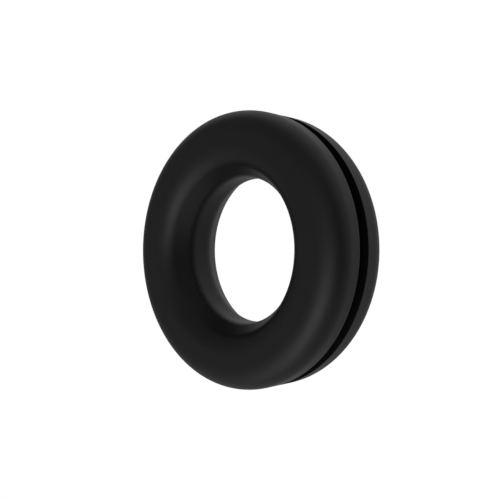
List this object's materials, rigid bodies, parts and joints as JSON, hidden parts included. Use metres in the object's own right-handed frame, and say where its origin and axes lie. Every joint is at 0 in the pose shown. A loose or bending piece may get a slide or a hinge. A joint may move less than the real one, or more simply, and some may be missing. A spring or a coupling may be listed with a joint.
{
  "type": "rubber grommet",
  "caption": "Round black rubber grommet: rounded flanges either side of a panel groove, and a bore with coned mouths that protects a cable passing through a sheet.",
  "frame": {"origin": "on the grommet's axis, at the middle of the panel groove, which is also the centre of the part", "axes": "+Z along the axis of the bore, square to the panel; X and Y in the plane of the panel. The part lies on its lower flange."},
  "size_m": [0.0302, 0.0302, 0.0088],
  "materials": {
    "rubber": "moulded black rubber, satin"
  },
  "bodies": {
    "root": {"grommet": "rubber"}
  },
  "joints": []
}
